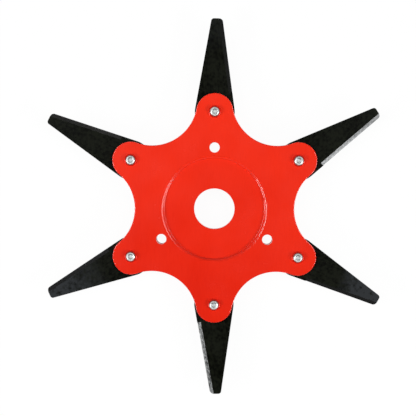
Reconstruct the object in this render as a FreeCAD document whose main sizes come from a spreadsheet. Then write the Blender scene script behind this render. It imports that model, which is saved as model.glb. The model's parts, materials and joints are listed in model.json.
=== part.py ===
# Brush cutter head with six swinging blades: two equal dished steel plates lie back to back,
# and their lobes hold the blades. Each blade turns on a spacer bush round its own screw.
# Frame: origin on the bore's axis, where the two plates meet; +Z towards the screw heads;
# +Y along the arm of blade 1. Millimetres and degrees.

import FreeCAD, Part
import math
import os
import Sketcher
from FreeCAD import Placement, Rotation, Vector

doc = FreeCAD.newDocument("trimmer_blade")

# Driving dimensions: name, value, what it is
driving_dimensions = [
    ("bore_diameter", 25.4, "one inch arbor of the cutter's gearbox"),
    ("bore_chamfer", 0.2, "edge of the bore, outer face"),
    ("plate_thickness", 2.0, "sheet that each plate is pressed from"),
    ("plate_edge_radius", 0.45, "edge that blanking rolls over, outer face"),
    ("pivot_circle_radius", 60.6, "bore's axis to each blade's screw"),
    ("lobe_radius", 11.5, "round end of each arm, about its screw"),
    ("scallop_radius", 28.3, "hollow between two arms, tangent to both lobes"),
    ("dish_floor_radius", 31.5, "flat clamping face round the bore"),
    ("dish_wall_width", 0.9, "radial width of the sloping wall of the dish"),
    ("dish_inside_radius", 0.4, "hollow corner at either end of the wall"),
    ("dish_outside_radius", 1.6, "round corner at either end of the wall"),
    ("guard_hole_diameter", 6.4, "three plain holes, clearance for M6"),
    ("guard_hole_circle_radius", 38.4, "bore's axis to each of the three holes"),
    ("blade_thickness", 3.0, "spring steel of the blades"),
    ("blade_side_clearance", 0.08, "play between a blade and either plate"),
    ("blade_root_radius", 12.45, "round root, about the pivot"),
    ("blade_reach", 57.7, "pivot to tip"),
    ("blade_tip_width", 6.85, "over the tip, before its corners are rounded"),
    ("blade_tip_corner_radius", 1.8, "rounded corners of the tip"),
    ("bevel_width", 2.3, "ground edge, seen from its face"),
    ("bevel_land", 0.6, "blunt edge that grinding leaves"),
    ("bevel_start", 9.9, "root's tangent point to the start of grinding"),
    ("bush_outer_diameter", 7.0, "spacer that the blade swings on"),
    ("bush_chamfer", 0.25, "outer edges of the spacer"),
    ("pivot_clearance", 0.05, "radial play of the blade on its bush"),
    ("screw_diameter", 4.0, "M4 button head screw"),
    ("screw_length", 14.0, "under the head"),
    ("screw_clearance", 0.1, "radial play of the screw in plates and bush"),
    ("screw_tip_chamfer", 0.5, "point of the screw"),
    ("head_diameter", 7.6, "button head"),
    ("head_height", 2.2, "button head"),
    ("head_rim_height", 0.3, "upright rim under the dome"),
    ("head_dome_radius", 4.2, "dome, centred on the screw's axis"),
    ("socket_across_flats", 2.5, "hexagon socket"),
    ("socket_depth", 1.1, "hexagon socket"),
    ("socket_mouth_diameter", 3.8, "countersunk mouth of the socket"),
    ("socket_mouth_depth", 1.0, "the mouth's cone, down to its point"),
    ("nut_across_flats", 7.0, "M4 lock nut"),
    ("nut_height", 5.0, "whole nut, with its collar"),
    ("nut_collar_height", 1.9, "round collar that holds the lock ring"),
    ("nut_collar_diameter", 6.3, "round collar"),
    ("nut_face_diameter", 6.7, "flat face inside the chamfered corners"),
    ("nut_chamfer_height", 0.4, "chamfer on the hexagon's corners"),
    ("thread_clearance", 0.02, "radial gap that stands for meshed threads"),
    ("lock_ring_diameter", 5.2, "plastic ring in the nut's collar"),
    ("lock_ring_height", 1.3, "plastic ring in the nut's collar"),
    ("collar_lip_height", 0.25, "rim that is crimped over the ring"),
    ("collar_lip_diameter", 4.7, "opening inside the crimped rim"),
]
sheet = doc.addObject("Spreadsheet::Sheet", "Sizes")
for row, (name, number, note) in enumerate(driving_dimensions, start=1):
    sheet.set(f"A{row}", name)
    sheet.set(f"B{row}", str(number))
    sheet.set(f"C{row}", note)
    sheet.setAlias(f"B{row}", name)
doc.recompute()

# Direction of each arm, and how far its blade lies from it, anticlockwise seen from +Z
arm_bearings = [90, 30, -30, -90, -150, -210]
blade_swings = [-1.2, 1.9, 1.5, 1.2, -5.1, 2.9]
# How far each screw's socket and each nut's flats happen to be turned
screw_turns = [8, 21, 47, 33, 14, 52]
nut_turns = [17, 49, 26, 5, 38, 55]
guard_hole_count = 3
cutting_margin = 3.0
match_tolerance = 1e-4

# Formulas that more than one piece needs
half_step = 180 / len(arm_bearings)
half_gap = "(Sizes.blade_thickness / 2 + Sizes.blade_side_clearance)"
outer_face = f"({half_gap} + Sizes.plate_thickness)"
blank_radius = f"(Sizes.pivot_circle_radius + Sizes.lobe_radius + {cutting_margin})"
screw_hole_radius = "(Sizes.screw_diameter / 2 + Sizes.screw_clearance)"
thread_hole_radius = "(Sizes.screw_diameter / 2 + Sizes.thread_clearance)"


def value(formula):
    return float(sheet.evalExpression(str(formula)))


# Helpers for sketches


def origin_part(body, role):
    return next(part for part in body.Origin.OriginFeatures if part.Role == role)


def new_body(label):
    body = doc.addObject("PartDesign::Body", label)
    body.Label = label
    return body


def new_sketch(body, name, plane="XY_Plane"):
    sketch = body.newObject("Sketcher::SketchObject", name)
    sketch.AttachmentSupport = [(origin_part(body, plane), "")]
    sketch.MapMode = "FlatFace"
    return sketch


def bind(sketch, formula, kind, *references):
    index = sketch.addConstraint(Sketcher.Constraint(kind, *references, value(formula)))
    sketch.setExpression(f"Constraints[{index}]", str(formula))


def add_circle(sketch, x_formula, y_formula, radius_formula):
    centre = Vector(value(x_formula), value(y_formula), 0)
    circle = Part.Circle(centre, Vector(0, 0, 1), value(radius_formula))
    index = sketch.addGeometry(circle)
    bind(sketch, x_formula, "DistanceX", -1, 1, index, 3)
    bind(sketch, y_formula, "DistanceY", -1, 1, index, 3)
    bind(sketch, radius_formula, "Radius", index)


def arc_between(start, end, centre, clockwise):
    """Arc from start to end about centre, as the sketcher wants it: drawn anticlockwise."""
    if clockwise:
        start, end = end, start
    first = math.atan2(start.y - centre.y, start.x - centre.x)
    last = math.atan2(end.y - centre.y, end.x - centre.x)
    radius = start.distanceToPoint(centre)
    return Part.ArcOfCircle(Part.Circle(centre, Vector(0, 0, 1), radius), first, last)


def add_outline(sketch, corners, arcs=None):
    """Closed outline through corners given by pairs of formulas.

    Side i runs from corner i to the next one. It is straight unless arcs holds, under i,
    the formulas of its radius and its centre, and whether it runs clockwise.
    """
    arcs = arcs or {}
    points = [Vector(value(x_formula), value(y_formula), 0) for x_formula, y_formula in corners]
    starts, ends = [], []
    for side, start in enumerate(points):
        end = points[(side + 1) % len(points)]
        if side in arcs:
            radius_formula, centre_x, centre_y, clockwise = arcs[side]
            centre = Vector(value(centre_x), value(centre_y), 0)
            index = sketch.addGeometry(arc_between(start, end, centre, clockwise))
            bind(sketch, radius_formula, "Radius", index)
        else:
            clockwise = False
            index = sketch.addGeometry(Part.LineSegment(start, end))
        starts.append((index, 2 if clockwise else 1))
        ends.append((index, 1 if clockwise else 2))
    for side, (x_formula, y_formula) in enumerate(corners):
        sketch.addConstraint(Sketcher.Constraint("Coincident", *ends[side - 1], *starts[side]))
        bind(sketch, x_formula, "DistanceX", -1, 1, *starts[side])
        bind(sketch, y_formula, "DistanceY", -1, 1, *starts[side])


def add_hexagon(sketch, across_flats):
    """Hexagon about the sketch's origin with a corner on its X axis."""
    corner_radius = f"({across_flats}) / sqrt(3)"
    turns = [60 * corner for corner in range(6)]
    corners = [(f"{corner_radius} * cos({t})", f"{corner_radius} * sin({t})") for t in turns]
    add_outline(sketch, corners)


# Helpers for features


def add_feature(body, kind, name, profile, **properties):
    made = body.newObject(f"PartDesign::{kind}", name)
    made.Profile = profile
    for key, setting in properties.items():
        setattr(made, key, setting)
    return made


def turn_section(body, name, corners, arcs=None):
    """Revolves a closed section, given as radius and height, about the body's Z axis."""
    section = new_sketch(body, f"{name}_section", "XZ_Plane")
    add_outline(section, corners, arcs)
    axis = (origin_part(body, "Z_Axis"), [""])
    return add_feature(body, "Revolution", name, section, ReferenceAxis=axis, Angle=360)


def cut_through(body, name, profile):
    return add_feature(body, "Pocket", name, profile, Type="ThroughAll", SideType="Symmetric")


def repeat_round(body, name, original, count):
    pattern = body.newObject("PartDesign::PolarPattern", name)
    pattern.Originals = [original]
    pattern.Axis = (origin_part(body, "Z_Axis"), [""])
    pattern.Angle = 360
    pattern.Occurrences = count
    body.Tip = pattern


def dress_edges(body, kind, name, size_formula, chosen):
    """Fillets or chamfers the edges of the body's last feature that the test accepts."""
    doc.recompute()
    base = body.Tip
    edges = [f"Edge{i}" for i, edge in enumerate(base.Shape.Edges, start=1) if chosen(edge)]
    dressed = body.newObject(f"PartDesign::{kind}", name)
    dressed.Base = (base, edges)
    dressed.setExpression("Radius" if kind == "Fillet" else "Size", size_formula)


def same(first, second):
    return abs(first - second) < match_tolerance


def is_level_arc(edge, radius_formula, height_formula):
    if not isinstance(edge.Curve, Part.Circle) or not same(edge.Curve.Radius, value(radius_formula)):
        return False
    height = value(height_formula)
    return same(edge.BoundBox.ZMin, height) and same(edge.BoundBox.ZMax, height)


def put_on_arm(body, bearing, turn, height_formula="0"):
    """Sets a piece that is drawn about its own pivot on the pivot of an arm."""
    body.Placement = Placement(Vector(0, 0, 0), Rotation(Vector(0, 0, 1), turn))
    body.setExpression(".Placement.Base.x", f"Sizes.pivot_circle_radius * cos({bearing})")
    body.setExpression(".Placement.Base.y", f"Sizes.pivot_circle_radius * sin({bearing})")
    body.setExpression(".Placement.Base.z", height_formula)


# Plates

# A sheet of even thickness bends at both faces; the far face's bend lies further out by this
bend_shift = f"Sizes.plate_thickness * tan(atan({half_gap} / Sizes.dish_wall_width) / 2)"
dish_top_radius = "(Sizes.dish_floor_radius + Sizes.dish_wall_width)"


def plate_outline():
    """Corners and arcs of the star: at each arm a lobe, then the hollow before the next arm."""
    reach = "(Sizes.lobe_radius + Sizes.scallop_radius)"
    sideways = f"(Sizes.pivot_circle_radius * sin({half_step}))"
    outwards = f"(Sizes.pivot_circle_radius * cos({half_step}))"
    hollow = f"({outwards} + sqrt({reach}^2 - {sideways}^2))"
    lobe_half_angle = (
        f"atan2({hollow} * sin({half_step}); "
        f"{hollow} * cos({half_step}) - Sizes.pivot_circle_radius)"
    )
    corners = []
    arcs = {}
    for bearing in sorted(arm_bearings):
        pivot_x = f"Sizes.pivot_circle_radius * cos({bearing})"
        pivot_y = f"Sizes.pivot_circle_radius * sin({bearing})"
        for side in ("-", "+"):
            towards = f"{bearing} {side} {lobe_half_angle}"
            towards_x = f"{pivot_x} + Sizes.lobe_radius * cos({towards} / 1 deg)"
            towards_y = f"{pivot_y} + Sizes.lobe_radius * sin({towards} / 1 deg)"
            corners.append((towards_x, towards_y))
        arcs[len(corners) - 2] = ("Sizes.lobe_radius", pivot_x, pivot_y, False)
        hollow_x = f"{hollow} * cos({bearing + half_step})"
        hollow_y = f"{hollow} * sin({bearing + half_step})"
        arcs[len(corners) - 1] = ("Sizes.scallop_radius", hollow_x, hollow_y, True)
    return corners, arcs


def make_plate(label):
    """Dished star, drawn as the upper plate: its floor lies on Z = 0."""
    body = new_body(label)
    bore = "Sizes.bore_diameter / 2"
    turn_section(
        body,
        "dished_blank",
        [
            (bore, "0"),
            (f"Sizes.dish_floor_radius + {bend_shift}", "0"),
            (f"{dish_top_radius} + {bend_shift}", half_gap),
            (blank_radius, half_gap),
            (blank_radius, outer_face),
            (dish_top_radius, outer_face),
            ("Sizes.dish_floor_radius", "Sizes.plate_thickness"),
            (bore, "Sizes.plate_thickness"),
        ],
    )

    def is_inside_bend(edge):
        upper = is_level_arc(edge, "Sizes.dish_floor_radius", "Sizes.plate_thickness")
        return upper or is_level_arc(edge, f"{dish_top_radius} + {bend_shift}", half_gap)

    def is_outside_bend(edge):
        upper = is_level_arc(edge, dish_top_radius, outer_face)
        return upper or is_level_arc(edge, f"Sizes.dish_floor_radius + {bend_shift}", "0")

    def is_bore_edge(edge):
        return is_level_arc(edge, bore, "Sizes.plate_thickness")

    def is_outline_edge(edge):
        on_lobe = is_level_arc(edge, "Sizes.lobe_radius", outer_face)
        return on_lobe or is_level_arc(edge, "Sizes.scallop_radius", outer_face)

    dress_edges(body, "Fillet", "inside_bends", "Sizes.dish_inside_radius", is_inside_bend)
    dress_edges(body, "Fillet", "outside_bends", "Sizes.dish_outside_radius", is_outside_bend)
    dress_edges(body, "Chamfer", "bore_edge", "Sizes.bore_chamfer", is_bore_edge)

    outline = new_sketch(body, "outline")
    add_outline(outline, *plate_outline())
    add_circle(outline, 0, 0, f"{blank_radius} + {cutting_margin}")
    cut_through(body, "blanking", outline)
    dress_edges(body, "Fillet", "rolled_edge", "Sizes.plate_edge_radius", is_outline_edge)

    guard_hole = new_sketch(body, "guard_hole")
    add_circle(guard_hole, 0, "Sizes.guard_hole_circle_radius", "Sizes.guard_hole_diameter / 2")
    guard_cut = cut_through(body, "guard_hole_cut", guard_hole)
    repeat_round(body, "guard_holes", guard_cut, guard_hole_count)

    screw_hole = new_sketch(body, "screw_hole")
    add_circle(screw_hole, 0, "Sizes.pivot_circle_radius", screw_hole_radius)
    screw_cut = cut_through(body, "screw_hole_cut", screw_hole)
    repeat_round(body, "screw_holes", screw_cut, len(arm_bearings))
    return body


# Blades


def make_blade(label):
    """Tapered blade along +X about its pivot, its ground edge on the -Y side of the +Z face."""
    body = new_body(label)
    tip_y = "Sizes.blade_tip_width / 2"
    tip_distance = f"sqrt(Sizes.blade_reach^2 + ({tip_y})^2)"
    # Each flank runs from the tip's corner and touches the round root
    taper = f"(asin(Sizes.blade_root_radius / {tip_distance}) - atan({tip_y} / Sizes.blade_reach))"
    root_x = f"Sizes.blade_root_radius * sin({taper})"
    root_y = f"Sizes.blade_root_radius * cos({taper})"
    outline = new_sketch(body, "outline")
    add_outline(
        outline,
        [
            (root_x, f"-{root_y}"),
            ("Sizes.blade_reach", f"-{tip_y}"),
            ("Sizes.blade_reach", tip_y),
            (root_x, root_y),
        ],
        {3: ("Sizes.blade_root_radius", 0, 0, False)},
    )
    strip = add_feature(body, "Pad", "strip", outline, SideType="Symmetric")
    strip.setExpression("Length", "Sizes.blade_thickness")

    def is_tip_corner(edge):
        upright = same(edge.BoundBox.XLength, 0) and same(edge.BoundBox.YLength, 0)
        return upright and same(edge.BoundBox.XMax, value("Sizes.blade_reach"))

    dress_edges(body, "Fillet", "tip_corners", "Sizes.blade_tip_corner_radius", is_tip_corner)

    pivot_hole = new_sketch(body, "pivot_hole")
    add_circle(pivot_hole, 0, 0, "Sizes.bush_outer_diameter / 2 + Sizes.pivot_clearance")
    cut_through(body, "pivot_hole_cut", pivot_hole)

    # The grinding's section stands square to the flank, with the sketch's X axis pointing inwards
    grinding = new_sketch(body, "grinding_section", "YZ_Plane")
    grinding.AttachmentOffset = Placement(Vector(0, 0, 0), Rotation(Vector(0, 1, 0), 1))
    grinding.setExpression(".AttachmentOffset.Base.x", f"Sizes.bevel_start * sin({taper})")
    grinding.setExpression(".AttachmentOffset.Base.z", f"Sizes.bevel_start * cos({taper})")
    grinding.setExpression(".AttachmentOffset.Rotation.Angle", taper)
    face = "Sizes.blade_thickness / 2"
    inner = "-Sizes.blade_root_radius + Sizes.bevel_width"
    outer = f"-Sizes.blade_root_radius - {cutting_margin}"
    add_outline(
        grinding,
        [
            (inner, face),
            (inner, f"{face} + {cutting_margin}"),
            (outer, f"{face} + {cutting_margin}"),
            (outer, f"-{face} + Sizes.bevel_land"),
            ("-Sizes.blade_root_radius", f"-{face} + Sizes.bevel_land"),
        ],
    )
    bevel = add_feature(body, "Pocket", "bevel", grinding, Reversed=True)
    bevel.setExpression("Length", "Sizes.blade_reach")
    return body


# Pivots: bush, screw, nut and lock ring, each drawn about its own axis


def make_bush(label):
    """Spacer that keeps the plates apart, centred on Z = 0."""
    body = new_body(label)
    inside = screw_hole_radius
    outside = "Sizes.bush_outer_diameter / 2"
    edge = f"{outside} - Sizes.bush_chamfer"
    shoulder = f"({half_gap} - Sizes.bush_chamfer)"
    turn_section(
        body,
        "sleeve",
        [
            (inside, f"-{half_gap}"),
            (edge, f"-{half_gap}"),
            (outside, f"-{shoulder}"),
            (outside, shoulder),
            (edge, half_gap),
            (inside, half_gap),
        ],
    )
    return body


def make_screw(label):
    """Button head screw with the underside of its head on Z = 0, its shank pointing down."""
    body = new_body(label)
    shank = "Sizes.screw_diameter / 2"
    rim = "Sizes.head_diameter / 2"
    dome = "Sizes.head_dome_radius"
    mouth = "Sizes.socket_mouth_diameter / 2"
    dome_centre = f"(Sizes.head_rim_height - sqrt({dome}^2 - ({rim})^2))"
    crown = f"sqrt({dome}^2 - (Sizes.head_height - {dome_centre})^2)"
    # The mouth's cone runs on to its point, which the socket then cuts away
    turn_section(
        body,
        "turned_screw",
        [
            (0, "-Sizes.screw_length"),
            (f"{shank} - Sizes.screw_tip_chamfer", "-Sizes.screw_length"),
            (shank, "-Sizes.screw_length + Sizes.screw_tip_chamfer"),
            (shank, 0),
            (rim, 0),
            (rim, "Sizes.head_rim_height"),
            (crown, "Sizes.head_height"),
            (mouth, "Sizes.head_height"),
            (0, "Sizes.head_height - Sizes.socket_mouth_depth"),
        ],
        {5: (dome, 0, dome_centre, False)},
    )
    socket = new_sketch(body, "socket")
    socket.setExpression(".AttachmentOffset.Base.z", "Sizes.head_height")
    add_hexagon(socket, "Sizes.socket_across_flats")
    socket_cut = add_feature(body, "Pocket", "socket_cut", socket)
    socket_cut.setExpression("Length", "Sizes.socket_depth")
    return body


def make_nut(label):
    """Lock nut with its bearing face on Z = 0, its collar pointing down."""
    body = new_body(label)
    corner = "Sizes.nut_across_flats / sqrt(3)"
    face = "Sizes.nut_face_diameter / 2"
    collar = "Sizes.nut_collar_diameter / 2"
    ring = "Sizes.lock_ring_diameter / 2"
    lip = "Sizes.collar_lip_diameter / 2"
    hexagon_end = "(Sizes.nut_collar_height - Sizes.nut_height)"
    ring_end = "(Sizes.collar_lip_height - Sizes.nut_height)"
    turn_section(
        body,
        "turned_nut",
        [
            (thread_hole_radius, f"{ring_end} + Sizes.lock_ring_height"),
            (ring, f"{ring_end} + Sizes.lock_ring_height"),
            (ring, ring_end),
            (lip, ring_end),
            (lip, "-Sizes.nut_height"),
            (f"{collar} - Sizes.collar_lip_height", "-Sizes.nut_height"),
            (collar, ring_end),
            (collar, hexagon_end),
            (face, hexagon_end),
            (corner, f"{hexagon_end} + Sizes.nut_chamfer_height"),
            (corner, "-Sizes.nut_chamfer_height"),
            (face, 0),
            (thread_hole_radius, 0),
        ],
    )
    flats = new_sketch(body, "flats")
    add_hexagon(flats, "Sizes.nut_across_flats")
    add_circle(flats, 0, 0, f"{corner} + {cutting_margin}")
    add_feature(body, "Pocket", "flats_cut", flats).setExpression(
        "Length", f"-{hexagon_end}"
    )
    return body


def make_lock_ring(label):
    """Plastic ring that grips the screw, drawn on the same face as its nut."""
    body = new_body(label)
    outside = "Sizes.lock_ring_diameter / 2"
    bottom = "(Sizes.collar_lip_height - Sizes.nut_height)"
    top = f"{bottom} + Sizes.lock_ring_height"
    turn_section(
        body,
        "ring",
        [
            (thread_hole_radius, bottom),
            (outside, bottom),
            (outside, top),
            (thread_hole_radius, top),
        ],
    )
    return body


pieces = [make_plate("upper_plate"), make_plate("lower_plate")]
pieces[1].Placement = Placement(Vector(0, 0, 0), Rotation(Vector(0, 1, 0), 180))
for arm, bearing in enumerate(arm_bearings):
    number = arm + 1
    blade = make_blade(f"blade_{number}")
    put_on_arm(blade, bearing, bearing + blade_swings[arm])
    bush = make_bush(f"bush_{number}")
    put_on_arm(bush, bearing, 0)
    screw = make_screw(f"screw_{number}")
    put_on_arm(screw, bearing, screw_turns[arm], outer_face)
    nut = make_nut(f"nut_{number}")
    put_on_arm(nut, bearing, nut_turns[arm], f"-{outer_face}")
    lock_ring = make_lock_ring(f"lock_ring_{number}")
    put_on_arm(lock_ring, bearing, nut_turns[arm], f"-{outer_face}")
    pieces += [blade, bush, screw, nut, lock_ring]
doc.recompute()

faulty = [item.Name for item in doc.Objects if {"Invalid", "Error"} & set(item.State)]
faulty += [piece.Label for piece in pieces if piece.Shape.isNull() or not piece.Shape.isValid()]
if faulty:
    raise RuntimeError("these objects did not build: " + ", ".join(faulty))

os.makedirs("parts", exist_ok=True)
for piece in pieces:
    piece.Shape.exportStep(f"parts/{piece.Label}.step")
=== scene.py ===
import bpy
import bmesh
import json
import math
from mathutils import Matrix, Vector


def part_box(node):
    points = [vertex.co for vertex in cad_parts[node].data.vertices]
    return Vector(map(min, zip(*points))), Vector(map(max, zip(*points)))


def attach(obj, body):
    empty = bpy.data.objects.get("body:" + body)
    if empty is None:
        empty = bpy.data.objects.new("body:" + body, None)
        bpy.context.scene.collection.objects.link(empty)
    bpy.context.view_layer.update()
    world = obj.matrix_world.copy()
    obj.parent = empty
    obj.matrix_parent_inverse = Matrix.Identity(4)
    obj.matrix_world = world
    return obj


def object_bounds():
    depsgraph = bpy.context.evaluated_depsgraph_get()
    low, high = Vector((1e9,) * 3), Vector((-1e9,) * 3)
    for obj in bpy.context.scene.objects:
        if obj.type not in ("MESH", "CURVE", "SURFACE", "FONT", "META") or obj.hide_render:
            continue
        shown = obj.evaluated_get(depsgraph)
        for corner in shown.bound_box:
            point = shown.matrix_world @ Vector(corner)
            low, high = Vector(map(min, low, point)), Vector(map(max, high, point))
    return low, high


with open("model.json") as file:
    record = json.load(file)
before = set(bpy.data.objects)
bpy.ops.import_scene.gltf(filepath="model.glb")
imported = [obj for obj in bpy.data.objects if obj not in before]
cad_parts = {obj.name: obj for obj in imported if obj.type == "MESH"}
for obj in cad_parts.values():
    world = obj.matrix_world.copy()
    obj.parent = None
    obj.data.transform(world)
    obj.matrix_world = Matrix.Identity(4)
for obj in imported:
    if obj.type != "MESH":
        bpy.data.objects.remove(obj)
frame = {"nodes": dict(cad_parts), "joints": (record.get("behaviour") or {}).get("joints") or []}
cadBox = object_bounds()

nodes = frame["nodes"]
joints = frame["joints"]
mm = 0.001
screwNumbers = range(1, 7)
print("stage: frame loaded,", len(nodes), "nodes")


# Small helpers for node trees

def putNode(tree, kind, sockets=None, **settings):
    node = tree.nodes.new(kind)
    for name, setting in settings.items():
        setattr(node, name, setting)
    feed(tree, node, sockets or {})
    return node


def maths(tree, operation, first, second=0.0, clamp=False):
    node = putNode(tree, "ShaderNodeMath", {0: first, 1: second}, operation=operation, use_clamp=clamp)
    return node.outputs[0]


def add(tree, first, second, clamp=False):
    return maths(tree, "ADD", first, second, clamp)


def multiply(tree, first, second, clamp=False):
    return maths(tree, "MULTIPLY", first, second, clamp)


def mixColour(tree, factor, first, second, blend="MIX"):
    # sockets 6, 7 and output 2 are the colour ones of a Mix node
    sockets = {0: factor, 6: first, 7: second}
    return putNode(tree, "ShaderNodeMix", sockets, data_type="RGBA", blend_type=blend).outputs[2]


def remap(tree, value, fromLow, fromHigh, toLow, toHigh):
    # holds the ends beyond fromLow and fromHigh
    sockets = {0: value, 1: fromLow, 2: fromHigh, 3: toLow, 4: toHigh}
    return putNode(tree, "ShaderNodeMapRange", sockets).outputs[0]


def objectPlace(tree):
    return putNode(tree, "ShaderNodeTexCoord").outputs["Object"]


def bumpNormal(tree, height, distance):
    sockets = {"Height": height, "Distance": distance, "Strength": 1.0}
    return putNode(tree, "ShaderNodeBump", sockets).outputs[0]


def newGroup(name, values, output):
    # a group that takes a Vector and the named values, and puts out one value
    group = bpy.data.node_groups.new(name, "ShaderNodeTree")
    group.interface.new_socket("Vector", in_out="INPUT", socket_type="NodeSocketVector")
    for label, start in values.items():
        socket = group.interface.new_socket(label, in_out="INPUT", socket_type="NodeSocketFloat")
        socket.default_value = start
    group.interface.new_socket(output, in_out="OUTPUT", socket_type="NodeSocketFloat")
    given = group.nodes.new("NodeGroupInput")
    made = group.nodes.new("NodeGroupOutput")
    return group, given.outputs, made.inputs


def placeGroup(tree, group, sockets):
    return putNode(tree, "ShaderNodeGroup", sockets, node_tree=group).outputs[0]


def newMaterial(name):
    material = bpy.data.materials.new(name)
    material.use_nodes = True
    tree = material.node_tree
    tree.nodes.clear()
    shader = tree.nodes.new("ShaderNodeBsdfPrincipled")
    output = tree.nodes.new("ShaderNodeOutputMaterial")
    tree.links.new(shader.outputs[0], output.inputs[0])
    return material, tree, shader


def feed(tree, node, sockets):
    # links what comes from another node, and sets constants on the socket itself
    for key, entry in sockets.items():
        if isinstance(entry, bpy.types.NodeSocket):
            tree.links.new(entry, node.inputs[key])
        else:
            node.inputs[key].default_value = entry


def dress(node, material):
    node.data.materials.clear()
    node.data.materials.append(material)


# Shared effects

# most of a noise texture's values lie between these two
noiseSpread = (0.3, 0.7)


def makeCloudGroup():
    # soft patches, put out as a value between Low and High
    values = {"Scale": 40.0, "Detail": 3.0, "Low": 0.0, "High": 1.0}
    group, given, made = newGroup("softPatches", values, "Value")
    noise = putNode(
        group, "ShaderNodeTexNoise",
        {"Vector": given["Vector"], "Scale": given["Scale"], "Detail": given["Detail"], "Roughness": 0.55},
    )
    spread = remap(group, noise.outputs[0], *noiseSpread, given["Low"], given["High"])
    group.links.new(spread, made["Value"])
    return group


def makeStreakGroup():
    # fine lines along X of the given vector, Length times as long as they are wide
    values = {"Fineness": 2500.0, "Length": 30.0, "Low": 0.0, "High": 1.0}
    group, given, made = newGroup("fineStreaks", values, "Value")
    shrink = maths(group, "DIVIDE", 1.0, given["Length"])
    squeeze = putNode(group, "ShaderNodeCombineXYZ", {0: shrink, 1: 1.0, 2: 1.0}).outputs[0]
    stretched = putNode(
        group, "ShaderNodeVectorMath", {0: given["Vector"], 1: squeeze}, operation="MULTIPLY"
    ).outputs[0]
    noise = putNode(
        group, "ShaderNodeTexNoise",
        {"Vector": stretched, "Scale": given["Fineness"], "Detail": 2.0, "Roughness": 0.6},
    )
    spread = remap(group, noise.outputs[0], *noiseSpread, given["Low"], given["High"])
    group.links.new(spread, made["Value"])
    return group


def makeSpeckGroup():
    # small scattered specks, 1 at a speck's middle, in the Share of the cells that has one
    group, given, made = newGroup("scatteredSpecks", {"Scale": 600.0, "Size": 0.2, "Share": 0.3}, "Mask")
    cells = putNode(group, "ShaderNodeTexVoronoi", {"Vector": given["Vector"], "Scale": given["Scale"]})
    colour = putNode(group, "ShaderNodeSeparateColor", {0: cells.outputs["Color"]})
    chosen = maths(group, "LESS_THAN", colour.outputs[0], given["Share"])
    inside = remap(group, cells.outputs["Distance"], 0.0, given["Size"], 1.0, 0.0)
    group.links.new(multiply(group, chosen, inside, clamp=True), made["Mask"])
    return group


softPatches = makeCloudGroup()
fineStreaks = makeStreakGroup()
scatteredSpecks = makeSpeckGroup()
print("stage: shared effects built")


# Red enamel of both plates

# deep and bright are the ends of the enamel's tone, which mixes random patches and streaks with the painted
# shade towards -Y
enamelLook = {
    "deep": (0.705, 0.0100, 0.0002, 1),
    "bright": (0.955, 0.0300, 0.0080, 1),
    "patchScale": 28.0,
    "patchDepth": 0.12,
    "paintedShadeReach": 75 * mm,
    "paintedShadeFall": (0.18, 0.88),
    "streakFineness": 1500.0,
    "streakLength": 9.0,
    "streakDepth": 0.07,
    "peelScale": 950.0,
    "peelHeight": 0.000010,
    "glossScale": 70.0,
    "roughness": (0.20, 0.28),
    "refraction": 1.45,
    "coat": 0.7,
    "coatRoughness": 0.07,
    "speckScale": 210.0,
    "speckSize": 0.05,
    "speckShare": 0.04,
    "speckCover": 0.5,
    "speckHeight": 0.4,
    "speckColour": (0.50, 0.015, 0.006, 1),
}


def makeEnamel():
    look = enamelLook
    material, tree, shader = newMaterial("redEnamel")
    place = objectPlace(tree)
    patchSockets = {"Scale": look["patchScale"], "Detail": 1.0}
    patchSockets |= {"Low": -look["patchDepth"], "High": look["patchDepth"]}
    patches = placeGroup(tree, softPatches, {"Vector": place, **patchSockets})
    # painted light and shade: the enamel is painted darker towards -Y and lighter towards +Y, as if more
    # light fell from +Y
    side = putNode(tree, "ShaderNodeSeparateXYZ", {0: place}).outputs[1]
    paintedShadeFall = remap(tree, side, -look["paintedShadeReach"], look["paintedShadeReach"], *look["paintedShadeFall"])
    turned = putNode(
        tree, "ShaderNodeMapping", {"Vector": place, "Rotation": (0, 0, math.radians(90))}
    ).outputs[0]
    streakSockets = {"Fineness": look["streakFineness"], "Length": look["streakLength"]}
    streakSockets |= {"Low": -look["streakDepth"], "High": look["streakDepth"]}
    streaks = placeGroup(tree, fineStreaks, {"Vector": turned, **streakSockets})
    tone = add(tree, add(tree, patches, streaks), paintedShadeFall, clamp=True)
    colour = mixColour(tree, tone, look["deep"], look["bright"])
    speckSockets = {"Scale": look["speckScale"], "Size": look["speckSize"], "Share": look["speckShare"]}
    specks = placeGroup(tree, scatteredSpecks, {"Vector": place, **speckSockets})
    colour = mixColour(tree, multiply(tree, specks, look["speckCover"]), colour, look["speckColour"])
    smooth, rough = look["roughness"]
    gloss = placeGroup(
        tree, softPatches, {"Vector": place, "Scale": look["glossScale"], "Low": smooth, "High": rough}
    )
    peel = putNode(tree, "ShaderNodeTexNoise", {"Vector": place, "Scale": look["peelScale"], "Detail": 1.0})
    height = add(tree, peel.outputs[0], multiply(tree, specks, look["speckHeight"]))
    normal = bumpNormal(tree, height, look["peelHeight"])
    feed(tree, shader, {"Base Color": colour, "Roughness": gloss, "Normal": normal})
    feed(tree, shader, {"IOR": look["refraction"], "Coat Weight": look["coat"]})
    feed(tree, shader, {"Coat Roughness": look["coatRoughness"]})
    return material


enamel = makeEnamel()
for name in ("upper_plate", "lower_plate"):
    dress(nodes[name], enamel)
print("stage: plates dressed")


# Blades: blackened steel with one ground edge

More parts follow.
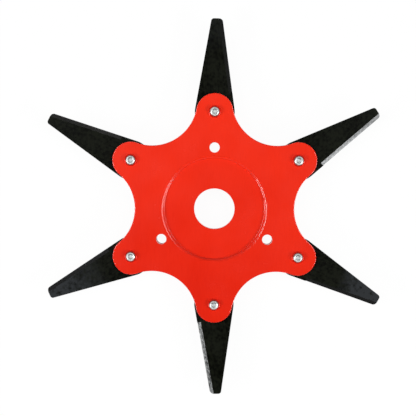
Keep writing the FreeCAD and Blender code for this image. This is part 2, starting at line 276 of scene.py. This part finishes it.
bladeForm = {
    "rootRadius": 12.45 * mm,
    "reach": 57.7 * mm,
    "tipWidth": 6.85 * mm,
    "halfThickness": 1.5 * mm,
    "bevelWidth": 2.3 * mm,
    "bevelStart": 9.9 * mm,
}
bladeLook = {
    "dark": (0.0006, 0.0008, 0.0002, 1),
    "light": (0.0062, 0.0074, 0.0040, 1),
    # painted sheen: a lighter grey towards the tip stands in for the lamps' sheen on the blade
    "paintedSheen": (0.026, 0.0285, 0.031, 1),
    "roughness": (0.32, 0.48),
    "shine": 0.07,
    "patchScale": 55.0,
    "skinScale": 470.0,
    "skinShare": 0.65,
    "skinSpread": (0.30, 0.72),
    "lineFineness": 1900.0,
    "lineLength": 40.0,
    "lineDepth": 0.3,
    "mottleScale": 360.0,
    "mottle": (0.1, 1.6),
    "bumpHeight": 0.000010,
    "lineBump": 0.5,
    "patchBump": 0.6,
}
# Marks of the grinding wheel, nearly square to the edge, pits that it didn't reach, and soft clouds
groundLook = {
    "softness": 0.06 * mm,
    "wanderScale": 260.0,
    "wander": 0.25 * mm,
    "wheelAngle": 82.0,
    "wheelFineness": 2600.0,
    "wheelLength": 14.0,
    "wheelShare": 0.35,
    "wheelBump": 0.8,
    "roughness": (0.34, 0.5),
    "cloudScale": 620.0,
    "toneSpread": (0.15, 0.85),
    "dimFrom": 0.4,
    "tipTone": 0.62,
    "pitScale": 1100.0,
    "pitSize": 0.5,
    "pitShare": 0.34,
    "pitDepth": 0.75,
}
# For each blade: the ground edge's colour, how much of it is bare metal, how strongly it is pitted and
# how uneven its tone is; and where the painted sheen (a lighter patch towards the tip) starts and is full, in
# mm from the pivot, and how far
edges = {
    "blade_1": {
        "colour": (0.0085, 0.0090, 0.0080, 1), "bare": 0.5, "pitted": 0.3, "uneven": 0.7,
        "paintedSheen": (36, 46, 0.15),
    },
    "blade_2": {
        "colour": (0.405, 0.415, 0.420, 1), "bare": 0.75, "pitted": 0.8, "uneven": 0.9,
        "paintedSheen": (36, 46, 0.02),
    },
    "blade_3": {
        "colour": (0.0030, 0.0031, 0.0029, 1), "bare": 1.0, "pitted": 0.2, "uneven": 0.5,
        "paintedSheen": (29, 48, 1.6),
    },
    "blade_4": {
        "colour": (0.225, 0.230, 0.230, 1), "bare": 0.6, "pitted": 1.0, "uneven": 2.2,
        "paintedSheen": (36, 46, 0.0),
    },
    "blade_5": {
        "colour": (0.0150, 0.0150, 0.0155, 1), "bare": 0.2, "pitted": 0.7, "uneven": 0.8,
        "paintedSheen": (18, 50, 1.1),
    },
    "blade_6": {
        "colour": (0.0280, 0.0285, 0.0265, 1), "bare": 0.1, "pitted": 0.3, "uneven": 0.7,
        "paintedSheen": (36, 46, 0.02),
    },
}


def bladeTaper():
    # the angle between a blade's middle line and its flank
    reach, halfTip = bladeForm["reach"], bladeForm["tipWidth"] / 2
    return math.asin(bladeForm["rootRadius"] / math.hypot(reach, halfTip)) - math.atan(halfTip / reach)


def bladeTurn(joint):
    # a hinge's range is centred on its arm, so its middle says how far the blade lies from the arm
    bearing = math.degrees(math.atan2(joint["pos_m"][1], joint["pos_m"][0]))
    return math.radians(bearing - sum(joint["range_deg"]) / 2)


def groundMask(tree, flank, along):
    # 1 on the ground edge, whose inner border wanders a little
    form, look = bladeForm, groundLook
    across, up = putNode(tree, "ShaderNodeSeparateXYZ", {0: flank}).outputs[1:3]
    noise = {"Vector": flank, "Scale": look["wanderScale"], "Detail": 2.0}
    wander = maths(tree, "SUBTRACT", putNode(tree, "ShaderNodeTexNoise", noise).outputs[0], 0.5)
    wobble = multiply(tree, wander, look["wander"])
    depth = add(tree, add(tree, across, form["rootRadius"]), wobble)
    soft = look["softness"]
    inside = remap(tree, depth, form["bevelWidth"] - soft, form["bevelWidth"] + soft, 1.0, 0.0)
    beyond = maths(tree, "GREATER_THAN", along, form["bevelStart"] - soft)
    above = maths(tree, "GREATER_THAN", up, -form["halfThickness"] + soft)
    return multiply(tree, multiply(tree, inside, beyond), above)


def groundColour(tree, flank, along, wheel, edge):
    look, reach = groundLook, bladeForm["reach"]
    pits = placeGroup(
        tree, scatteredSpecks,
        {"Vector": flank, "Scale": look["pitScale"], "Size": look["pitSize"], "Share": look["pitShare"]},
    )
    clouds = placeGroup(tree, softPatches, {"Vector": flank, "Scale": look["cloudScale"], "Detail": 3.0})
    share = look["wheelShare"]
    tone = add(tree, multiply(tree, wheel, share), multiply(tree, clouds, 1.0 - share))
    uneven = edge["uneven"] / 2
    tone = remap(tree, tone, *look["toneSpread"], 1.0 - uneven, 1.0 + uneven)
    dimmed = remap(tree, along, look["dimFrom"] * reach, reach, 1.0, look["tipTone"])
    tone = multiply(tree, tone, dimmed)
    pitting = maths(tree, "SUBTRACT", 1.0, multiply(tree, pits, look["pitDepth"] * edge["pitted"]))
    tone = multiply(tree, tone, pitting)
    return mixColour(tree, 1.0, edge["colour"], tone, blend="MULTIPLY")


def makeBladeSteel(name, joint, edge):
    look = bladeLook
    material, tree, shader = newMaterial("bladeSteel_" + name[-1])
    # X along the ground flank from the pivot, and Y square to it, 0 at the pivot
    setting = {"Location": joint["pos_m"], "Rotation": (0, 0, bladeTurn(joint) + bladeTaper())}
    flank = putNode(
        tree, "ShaderNodeMapping", {"Vector": objectPlace(tree), **setting}, vector_type="TEXTURE"
    ).outputs[0]
    along = putNode(tree, "ShaderNodeSeparateXYZ", {0: flank}).outputs[0]
    ground = groundMask(tree, flank, along)

    patches = placeGroup(tree, softPatches, {"Vector": flank, "Scale": look["patchScale"], "Detail": 5.0})
    finePatches = placeGroup(tree, softPatches, {"Vector": flank, "Scale": look["skinScale"], "Detail": 4.0})
    lineSockets = {"Fineness": look["lineFineness"], "Length": look["lineLength"]}
    lineSockets |= {"Low": -look["lineDepth"], "High": look["lineDepth"]}
    lines = placeGroup(tree, fineStreaks, {"Vector": flank, **lineSockets})
    share = look["skinShare"]
    shade = add(tree, multiply(tree, patches, 1.0 - share), multiply(tree, finePatches, share))
    shade = remap(tree, shade, *look["skinSpread"], 0.0, 1.0)
    skin = mixColour(tree, add(tree, shade, lines, clamp=True), look["dark"], look["light"])
    # painted sheen: the blade is painted lighter towards the tip, in place of the lamps' sheen
    start, end, strength = edge["paintedSheen"]
    sheenAmount = remap(tree, along, start * mm, end * mm, 0.0, strength)
    low, high = look["mottle"]
    mottled = placeGroup(
        tree, softPatches,
        {"Vector": flank, "Scale": look["mottleScale"], "Detail": 4.0, "Low": low, "High": high},
    )
    skin = mixColour(tree, multiply(tree, sheenAmount, mottled, clamp=True), skin, look["paintedSheen"])

    squareOn = putNode(
        tree, "ShaderNodeMapping",
        {"Vector": flank, "Rotation": (0, 0, math.radians(groundLook["wheelAngle"]))},
    ).outputs[0]
    wheel = placeGroup(
        tree, fineStreaks,
        {"Vector": squareOn, "Fineness": groundLook["wheelFineness"], "Length": groundLook["wheelLength"]},
    )
    colour = mixColour(tree, ground, skin, groundColour(tree, flank, along, wheel, edge))

    satin = remap(tree, patches, 0.0, 1.0, *look["roughness"])
    scratched = remap(tree, wheel, 0.0, 1.0, *groundLook["roughness"])
    elsewhere = maths(tree, "SUBTRACT", 1.0, ground)
    roughness = add(tree, multiply(tree, satin, elsewhere), multiply(tree, scratched, ground))
    metal = multiply(tree, ground, edge["bare"])
    grain = add(tree, multiply(tree, lines, look["lineBump"]), multiply(tree, patches, look["patchBump"]))
    scored = multiply(tree, multiply(tree, wheel, ground), groundLook["wheelBump"])
    normal = bumpNormal(tree, add(tree, grain, scored), look["bumpHeight"])
    feed(tree, shader, {"Base Color": colour, "Roughness": roughness, "Metallic": metal, "Normal": normal})
    feed(tree, shader, {"Specular IOR Level": look["shine"]})
    return material


for joint in joints:
    name = joint["name"].removesuffix("_swing")
    dress(nodes[name], makeBladeSteel(name, joint, edges[name]))
print("stage: blades dressed")


# Screws, nuts, bushes: bright plated steel; lock rings: moulded plastic

zincLook = {
    "pale": (0.88, 0.90, 0.89, 1),
    "grey": (0.70, 0.73, 0.72, 1),
    "metallic": 0.3,
    "roughness": (0.26, 0.42),
    "lineLength": 3.0,
}
bushLook = {
    "pale": (0.50, 0.49, 0.47, 1),
    "grey": (0.36, 0.35, 0.34, 1),
    "metallic": 1.0,
    "roughness": (0.30, 0.45),
    "lineLength": 8.0,
}
steelGrain = {
    "patchScale": 320.0,
    "lineFineness": 5200.0,
    "lineDepth": 0.25,
    "bumpHeight": 0.000006,
}
# Round each head, out from the screw's axis: a dark line of painted contact shade, then a painted reflection
# of the plate's red
seatLook = {
    "from": 2.48 * mm,
    "full": 2.76 * mm,
    "above": 3.4 * mm,
    "reflectionFrom": 3.05 * mm,
    "reflectionFull": 3.45 * mm,
    "dark": (0.30, 0.032, 0.019, 1),
    "paintedRedReflection": (0.80, 0.024, 0.007, 1),
    "roughness": 0.25,
    "extraMetal": 0.25,
}
# Painted shade: a dull band round the socket's mouth, painted heavier towards +Y, and the clean floor inside
# it
socketLook = {
    "floor": 1.0 * mm,
    "band": 1.3 * mm,
    "bandEnd": 1.75 * mm,
    "rim": 1.95 * mm,
    "lightSide": 0.3,
    "socketShade": (0.20, 0.22, 0.23, 1),
}
nylonLook = {
    "deep": (0.66, 0.66, 0.60, 1),
    "pale": (0.78, 0.78, 0.73, 1),
    "patchScale": 500.0,
    "roughness": (0.42, 0.55),
    "bumpHeight": 0.000008,
    "scatter": 0.1,
    "scatterReach": (0.0006, 0.0006, 0.0005),
}


def headShadeAndReflection(tree, place, axis, colour, roughness, metallic):
    # painted shade and reflection on a screw's head, by its distance from the screw's axis
    seat, socket = seatLook, socketLook
    offset = putNode(tree, "ShaderNodeVectorMath", {0: place, 1: axis}, operation="SUBTRACT").outputs[0]
    aside, ahead, height = putNode(tree, "ShaderNodeSeparateXYZ", {0: offset}).outputs
    squares = add(tree, multiply(tree, aside, aside), multiply(tree, ahead, ahead))
    outward = maths(tree, "SQRT", squares)
    onHead = maths(tree, "GREATER_THAN", height, seat["above"])

    mouth = remap(tree, outward, socket["floor"], socket["band"], 0.0, 1.0)
    mouth = multiply(tree, mouth, remap(tree, outward, socket["bandEnd"], socket["rim"], 1.0, 0.0))
    # painted shade in the socket's mouth, darker on its +Y side
    shadeTowardsPlusY = remap(tree, ahead, -socket["band"], socket["band"], socket["lightSide"], 1.0)
    socketShadeMask = multiply(tree, multiply(tree, mouth, shadeTowardsPlusY), onHead)
    colour = mixColour(tree, socketShadeMask, colour, socket["socketShade"])

    # painted contact shade at the head's rim, turning outwards into a painted reflection of the red plate
    seatShadeMask = multiply(tree, remap(tree, outward, seat["from"], seat["full"], 0.0, 1.0), onHead)
    redReflectionMask = remap(tree, outward, seat["reflectionFrom"], seat["reflectionFull"], 0.0, 1.0)
    seatShadeAndReflection = mixColour(tree, redReflectionMask, seat["dark"], seat["paintedRedReflection"])
    colour = mixColour(tree, seatShadeMask, colour, seatShadeAndReflection)
    roughness = remap(tree, seatShadeMask, 0.0, 1.0, roughness, seat["roughness"])
    metallic = remap(tree, outward, socket["floor"], socket["band"], 0.0, metallic)
    metallic = add(tree, metallic, multiply(tree, seatShadeMask, seat["extraMetal"]))
    return colour, roughness, metallic


def makePlatedSteel(name, look, axis=None):
    grain = steelGrain
    material, tree, shader = newMaterial(name)
    place = objectPlace(tree)
    patches = placeGroup(tree, softPatches, {"Vector": place, "Scale": grain["patchScale"], "Detail": 4.0})
    lineSockets = {"Fineness": grain["lineFineness"], "Length": look["lineLength"]}
    lineSockets |= {"Low": -grain["lineDepth"], "High": grain["lineDepth"]}
    lines = placeGroup(tree, fineStreaks, {"Vector": place, **lineSockets})
    tone = add(tree, patches, lines, clamp=True)
    roughness = remap(tree, tone, 0.0, 1.0, *look["roughness"])
    colour = mixColour(tree, tone, look["grey"], look["pale"])
    metallic = look["metallic"]
    if axis:
        colour, roughness, metallic = headShadeAndReflection(tree, place, axis, colour, roughness, metallic)
    normal = bumpNormal(tree, tone, grain["bumpHeight"])
    feed(tree, shader, {"Base Color": colour, "Metallic": metallic, "Roughness": roughness, "Normal": normal})
    return material


def makeNylon():
    look = nylonLook
    material, tree, shader = newMaterial("naturalNylon")
    place = objectPlace(tree)
    patches = placeGroup(tree, softPatches, {"Vector": place, "Scale": look["patchScale"], "Detail": 2.0})
    colour = mixColour(tree, patches, look["deep"], look["pale"])
    roughness = remap(tree, patches, 0.0, 1.0, *look["roughness"])
    normal = bumpNormal(tree, patches, look["bumpHeight"])
    feed(tree, shader, {"Base Color": colour, "Roughness": roughness, "Normal": normal})
    feed(tree, shader, {"Subsurface Weight": look["scatter"], "Subsurface Radius": look["scatterReach"]})
    return material


nutSteel = makePlatedSteel("platedNut", zincLook)
bushSteel = makePlatedSteel("turnedBush", bushLook)
nylon = makeNylon()
for number in screwNumbers:
    low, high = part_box(f"screw_{number}")
    axis = ((low.x + high.x) / 2, (low.y + high.y) / 2, 0.0)
    dress(nodes[f"screw_{number}"], makePlatedSteel(f"platedScrew_{number}", zincLook, axis))
    dress(nodes[f"nut_{number}"], nutSteel)
    dress(nodes[f"bush_{number}"], bushSteel)
    dress(nodes[f"lock_ring_{number}"], nylon)
print("stage: fasteners dressed")


# Thread on the end of each screw that stands out of its nut

threadForm = {
    "pitch": 0.7 * mm,
    "rootRadius": 1.97 * mm,
    "crestRadius": 2.09 * mm,
    "ridgeShare": 0.84,
    "stepsPerTurn": 36,
    "tipClearance": 0.42 * mm,
    "rimDepth": 0.2 * mm,
}


def makeThread(number):
    form = threadForm
    low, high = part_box(f"screw_{number}")
    centre = (low + high) / 2
    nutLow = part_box(f"nut_{number}")[0]
    start = low.z + form["tipClearance"]
    half = form["pitch"] * form["ridgeShare"] / 2
    # the ridge ends inside the rim of the nut's collar
    turns = (nutLow.z + form["rimDepth"] - 2 * half - start) / form["pitch"]
    bm = bmesh.new()
    corners = [(form["rootRadius"], 0), (form["crestRadius"], half), (form["rootRadius"], 2 * half)]
    ring = [bm.verts.new((centre.x + radius, centre.y, start + rise)) for radius, rise in corners]
    face = bm.faces.new(ring)
    bmesh.ops.spin(
        bm, geom=[face], cent=(centre.x, centre.y, 0), axis=(0, 0, 1), angle=turns * 2 * math.pi,
        dvec=(0, 0, form["pitch"] / form["stepsPerTurn"]), steps=round(turns * form["stepsPerTurn"]),
    )
    bmesh.ops.recalc_face_normals(bm, faces=bm.faces)
    mesh = bpy.data.meshes.new(f"threadEnd_{number}")
    bm.to_mesh(mesh)
    bm.free()
    thread = bpy.data.objects.new(f"threadEnd_{number}", mesh)
    bpy.context.scene.collection.objects.link(thread)
    mesh.materials.append(nutSteel)
    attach(thread, "hub")


for number in screwNumbers:
    makeThread(number)
print("stage: thread ends made")


# Floor, light and camera

# The object is lit from below by a matte floor of this albedo; camera and mirror rays see a glow and a
# weak matte, which takes the object's shadow
paperLook = {
    "size": 6.0,
    "albedo": 0.8,
    "shadowShare": 0.045,
    "glow": 0.955,
}
# Radiance of the room by the sine of the height above the horizon, and of its low part by direction:
# the far side, beyond the picture's upper edge, is dimmer
skyLook = {
    "zenith": 0.05,
    "darkFrom": 0.42,
    "paleFrom": 0.20,
    "sides": (-0.2, 0.5),
    "nearSide": 0.22,
    "farSide": 0.18,
    "backdrop": 1.0,
    "horizonFrom": 0.04,
    "horizonTo": 0.14,
}
lamps = {
    "rightStrip": {"place": (1.0, -0.40, 0.56), "size": (0.66, 0.20), "watts": 7.5},
    "leftStrip": {"place": (-1.0, -0.33, 0.56), "size": (0.70, 0.20), "watts": 7.5},
    "rightSoftbox": {"place": (1.15, 0.22, 1.80), "size": (0.9, 0.9), "watts": 15.2},
    "leftSoftbox": {"place": (-1.15, 0.22, 1.80), "size": (0.9, 0.9), "watts": 15.2},
}
# Fitted to the photograph: focal length in pixels of a picture 416 wide, turn in degrees
cameraFit = {
    "place": (6.58 * mm, 30.0 * mm, 500.0 * mm),
    "turn": (-3.392, 1.228, 0.240),
    "focal": 794.19,
    "pictureWidth": 416,
    "sensor": 36.0,
}


def grey(level):
    return (level, level, level, 1)


def raysThatMirror(tree, path):
    return add(tree, path["Is Glossy Ray"], path["Is Transmission Ray"], clamp=True)


def makeFloor():
    look = paperLook
    bm = bmesh.new()
    bmesh.ops.create_grid(bm, x_segments=1, y_segments=1, size=look["size"] / 2)
    bmesh.ops.translate(bm, verts=bm.verts, vec=(0, 0, cadBox[0].z))
    mesh = bpy.data.meshes.new("floor")
    bm.to_mesh(mesh)
    bm.free()
    floor = bpy.data.objects.new("floor", mesh)
    bpy.context.scene.collection.objects.link(floor)
    material = bpy.data.materials.new("whitePaper")
    material.use_nodes = True
    tree = material.node_tree
    tree.nodes.clear()
    path = putNode(tree, "ShaderNodeLightPath").outputs
    seen = add(tree, path["Is Camera Ray"], raysThatMirror(tree, path), clamp=True)
    matte = putNode(tree, "ShaderNodeBsdfDiffuse", {"Color": grey(look["albedo"])})
    shaded = putNode(tree, "ShaderNodeBsdfDiffuse", {"Color": grey(look["shadowShare"])})
    glow = putNode(tree, "ShaderNodeEmission", {"Color": grey(1.0), "Strength": look["glow"]})
    paper = putNode(tree, "ShaderNodeAddShader", {0: shaded.outputs[0], 1: glow.outputs[0]})
    mixed = putNode(tree, "ShaderNodeMixShader", {0: seen, 1: matte.outputs[0], 2: paper.outputs[0]})
    putNode(tree, "ShaderNodeOutputMaterial", {0: mixed.outputs[0]})
    mesh.materials.append(material)


def makeSky():
    look = skyLook
    world = bpy.data.worlds.new("paleRoom")
    bpy.context.scene.world = world
    world.use_nodes = True
    tree = world.node_tree
    tree.nodes.clear()
    direction = putNode(tree, "ShaderNodeTexCoord").outputs["Generated"]
    ahead, height = putNode(tree, "ShaderNodeSeparateXYZ", {0: direction}).outputs[1:3]
    pale = remap(tree, height, look["paleFrom"], look["darkFrom"], 1.0, 0.0)
    horizon = remap(tree, ahead, *look["sides"], look["nearSide"], look["farSide"])
    level = add(tree, multiply(tree, pale, horizon), look["zenith"], clamp=True)
    room = putNode(tree, "ShaderNodeBackground", {"Color": grey(1.0), "Strength": level})
    backdrop = putNode(tree, "ShaderNodeBackground", {"Color": grey(1.0), "Strength": look["backdrop"]})
    # the camera sees the white backdrop everywhere, metal only near the horizon, so the enamel stays deep
    path = putNode(tree, "ShaderNodeLightPath").outputs
    nearHorizon = remap(tree, height, look["horizonFrom"], look["horizonTo"], 1.0, 0.0)
    mirrored = multiply(tree, raysThatMirror(tree, path), nearHorizon)
    seen = add(tree, path["Is Camera Ray"], mirrored, clamp=True)
    mixed = putNode(tree, "ShaderNodeMixShader", {0: seen, 1: room.outputs[0], 2: backdrop.outputs[0]})
    putNode(tree, "ShaderNodeOutputWorld", {0: mixed.outputs[0]})


def makeLamps():
    for name, lamp in lamps.items():
        light = bpy.data.lights.new(name, "AREA")
        light.shape = "RECTANGLE"
        light.size, light.size_y = lamp["size"]
        light.energy = lamp["watts"]
        holder = bpy.data.objects.new(name, light)
        holder.location = lamp["place"]
        holder.rotation_euler = (-Vector(lamp["place"])).to_track_quat("-Z", "Y").to_euler()
        bpy.context.scene.collection.objects.link(holder)


def makeCamera():
    fit = cameraFit
    camera = bpy.data.cameras.new("camera")
    camera.lens = fit["focal"] / fit["pictureWidth"] * fit["sensor"]
    camera.sensor_width = fit["sensor"]
    holder = bpy.data.objects.new("camera", camera)
    holder.location = fit["place"]
    holder.rotation_euler = [math.radians(angle) for angle in fit["turn"]]
    bpy.context.scene.collection.objects.link(holder)
    bpy.context.scene.camera = holder


makeFloor()
makeSky()
makeLamps()
makeCamera()
bpy.context.scene.view_settings.view_transform = "Standard"
print("stage: floor, light and camera set")
